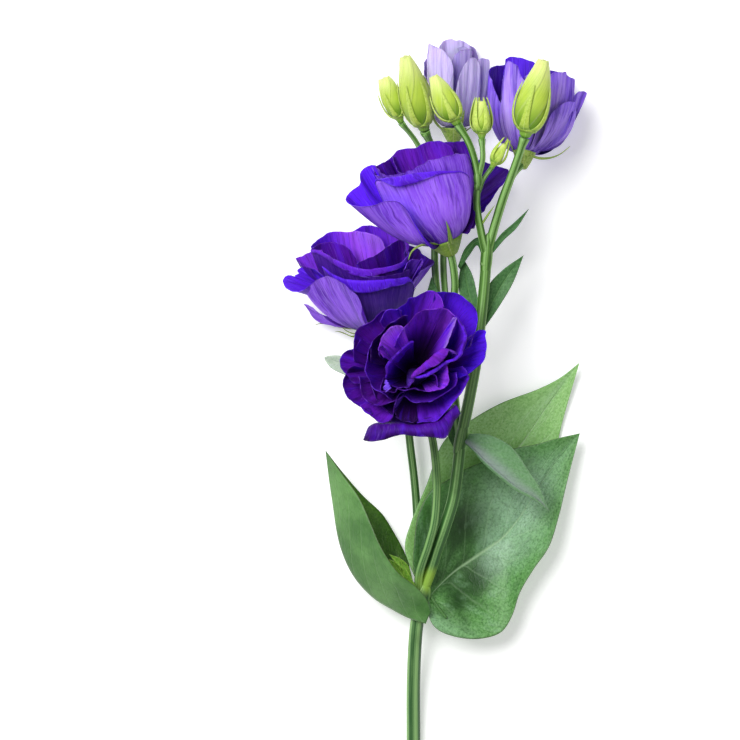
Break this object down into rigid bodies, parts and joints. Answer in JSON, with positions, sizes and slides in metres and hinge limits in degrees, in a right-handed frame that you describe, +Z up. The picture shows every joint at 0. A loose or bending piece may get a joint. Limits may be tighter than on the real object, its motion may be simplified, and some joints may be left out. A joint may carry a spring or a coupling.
{
  "type": "cut lisianthus flower stem",
  "caption": "Cut lisianthus stem lying flat, with double violet blooms, a paler half-open bloom, green buds and broad leaves.",
  "frame": {"origin": "on the resting surface, under the flat of the stem near its cut end", "axes": "+Y along the stem from the cut end towards the blooms, +X to the right as seen from above, +Z up from the surface"},
  "size_m": [0.1229, 0.3306, 0.0778],
  "materials": {
    "stem": "satin",
    "leaf": "satin",
    "leaf_grey": "matte",
    "leaf_dark": "satin",
    "leaf_pale": "matte",
    "shoot": "satin",
    "calyx": "satin",
    "bud": "satin",
    "petal_violet": "velvety",
    "petal_lavender": "velvety",
    "petal_mid": "velvety"
  },
  "bodies": {
    "root": {"stem": "stem", "bud_far_left_calyx": "calyx", "bud_far_left_petals": "bud", "bud_left_calyx": "calyx", "bud_left_petals": "bud", "bud_middle_calyx": "calyx", "bud_middle_petals": "bud", "bud_small_calyx": "calyx", "bud_small_petals": "bud", "bud_right_calyx": "calyx", "bud_right_petals": "bud", "bud_tiny_calyx": "calyx", "bud_tiny_petals": "bud", "bloom_front_calyx": "calyx", "bloom_front_petals": "petal_violet", "bloom_left_calyx": "calyx", "bloom_left_petals": "petal_violet", "bloom_top_calyx": "calyx", "bloom_top_petals": "petal_violet", "bloom_lavender_calyx": "calyx", "bloom_lavender_petals": "petal_lavender", "bloom_right_calyx": "calyx", "bloom_right_petals": "petal_mid", "leaf_left_large": "leaf", "leaf_right_large": "leaf", "leaf_right_upper": "leaf", "leaf_narrow_grey": "leaf_grey", "leaf_hanging_small": "leaf_dark", "leaf_lance_left": "leaf_dark", "leaf_lance_right": "leaf_dark", "leaf_slim_right": "leaf_dark", "leaf_slim_left": "leaf_dark", "bract_thread": "calyx", "bract_pale": "leaf_pale", "leaf_behind_blooms": "leaf_dark", "shoot_left": "shoot"}
  },
  "joints": []
}
